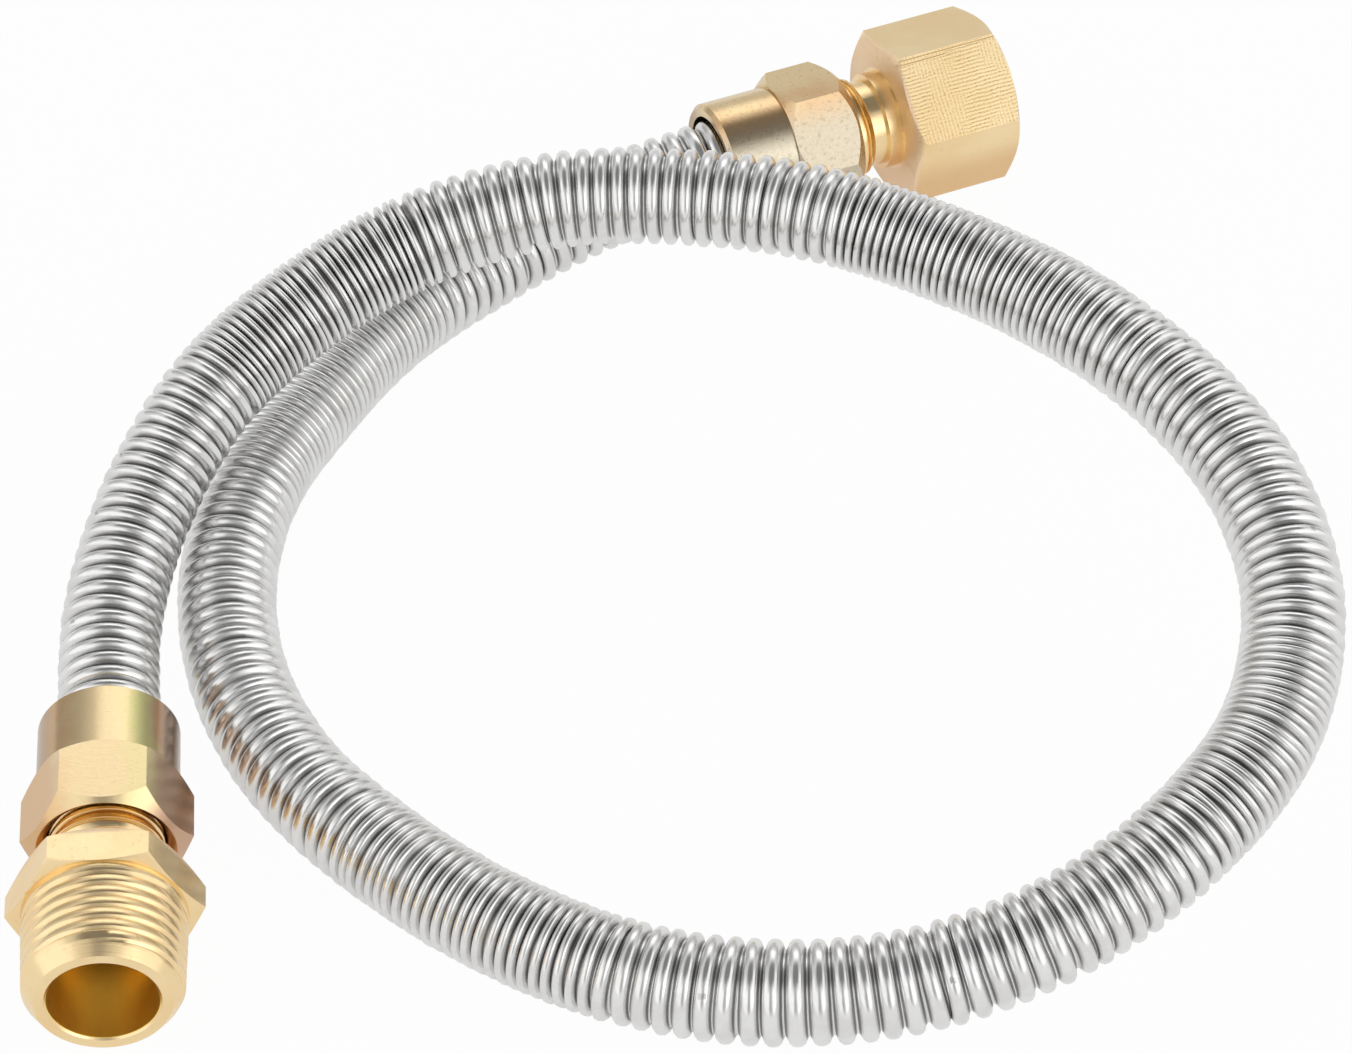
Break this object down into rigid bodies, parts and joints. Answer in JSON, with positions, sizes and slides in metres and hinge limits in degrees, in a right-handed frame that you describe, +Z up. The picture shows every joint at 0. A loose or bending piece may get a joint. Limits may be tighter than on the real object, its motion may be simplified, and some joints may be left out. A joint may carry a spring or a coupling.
{
  "type": "flexible gas hose",
  "caption": "Corrugated metal gas hose lying in a loose loop, with a flare nut and brass adapter at each end, one with an outside pipe thread and one with a socket.",
  "frame": {"origin": "on the floor, under the middle of the box round the four end fittings (the hose is left out)", "axes": "+Z up; +X along the socket end's axis, out of its mouth; the threaded end points to -Y, 19 degrees towards -X"},
  "size_m": [0.1906, 0.1768, 0.0459],
  "materials": {
    "stainless": "bright drawn stainless steel",
    "yellow_zinc": "yellow passivated zinc plating, faintly iridescent",
    "brass": "satin turned brass"
  },
  "bodies": {
    "hose": {"hose": "stainless"},
    "male_nut": {"male_nut": "yellow_zinc"},
    "male_adapter": {"male_adapter": "brass"},
    "female_nut": {"female_nut": "yellow_zinc"},
    "female_adapter": {"female_adapter": "brass"}
  },
  "joints": [
    {"name": "male_nut_turn", "type": "hinge", "parent": "hose", "child": "male_nut", "pos_m": [-0.07069, -0.0199, 0.0111], "axis": [0.3327, 0.943, 0], "range_deg": [0, 2160]},
    {"name": "male_adapter_slide", "type": "slide", "parent": "hose", "child": "male_adapter", "axis": [-0.3327, -0.943, 0], "range_m": [0, 0.00847]},
    {"name": "female_nut_turn", "type": "hinge", "parent": "hose", "child": "female_nut", "pos_m": [0.0494, 0.05385, 0.01332], "axis": [-1, 0, 0], "range_deg": [0, 2160]},
    {"name": "female_adapter_slide", "type": "slide", "parent": "hose", "child": "female_adapter", "axis": [1, 0, 0], "range_m": [0, 0.00847]}
  ],
  "couplings": [
    {"joint": "male_adapter_slide", "follows": "male_nut_turn", "m_per_rad": 0.00022457},
    {"joint": "female_adapter_slide", "follows": "female_nut_turn", "m_per_rad": 0.00022457}
  ]
}
